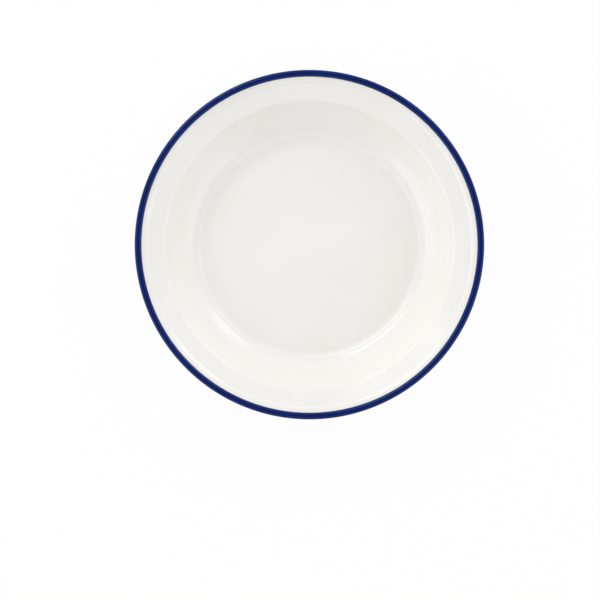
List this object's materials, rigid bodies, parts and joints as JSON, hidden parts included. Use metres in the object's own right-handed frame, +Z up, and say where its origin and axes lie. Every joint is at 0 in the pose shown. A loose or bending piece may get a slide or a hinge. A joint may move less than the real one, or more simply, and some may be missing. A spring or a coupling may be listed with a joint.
{
  "type": "soup plate",
  "caption": "Deep round soup plate in glossy white melamine with a sloping flange, a thick blue bead round the edge and a notched foot ring.",
  "frame": {"origin": "on the plate's axis, on the plane that the foot ring stands on", "axes": "+Z up along the plate's axis; -Y is the front, the side that the picture's side view shows; +X to its right"},
  "size_m": [0.24, 0.24, 0.039],
  "materials": {
    "white_melamine": "glossy moulded melamine, warm white",
    "blue_melamine": "glossy moulded melamine, deep blue"
  },
  "bodies": {
    "root": {"plate_body": "white_melamine", "rim_bead": "blue_melamine"}
  },
  "joints": []
}
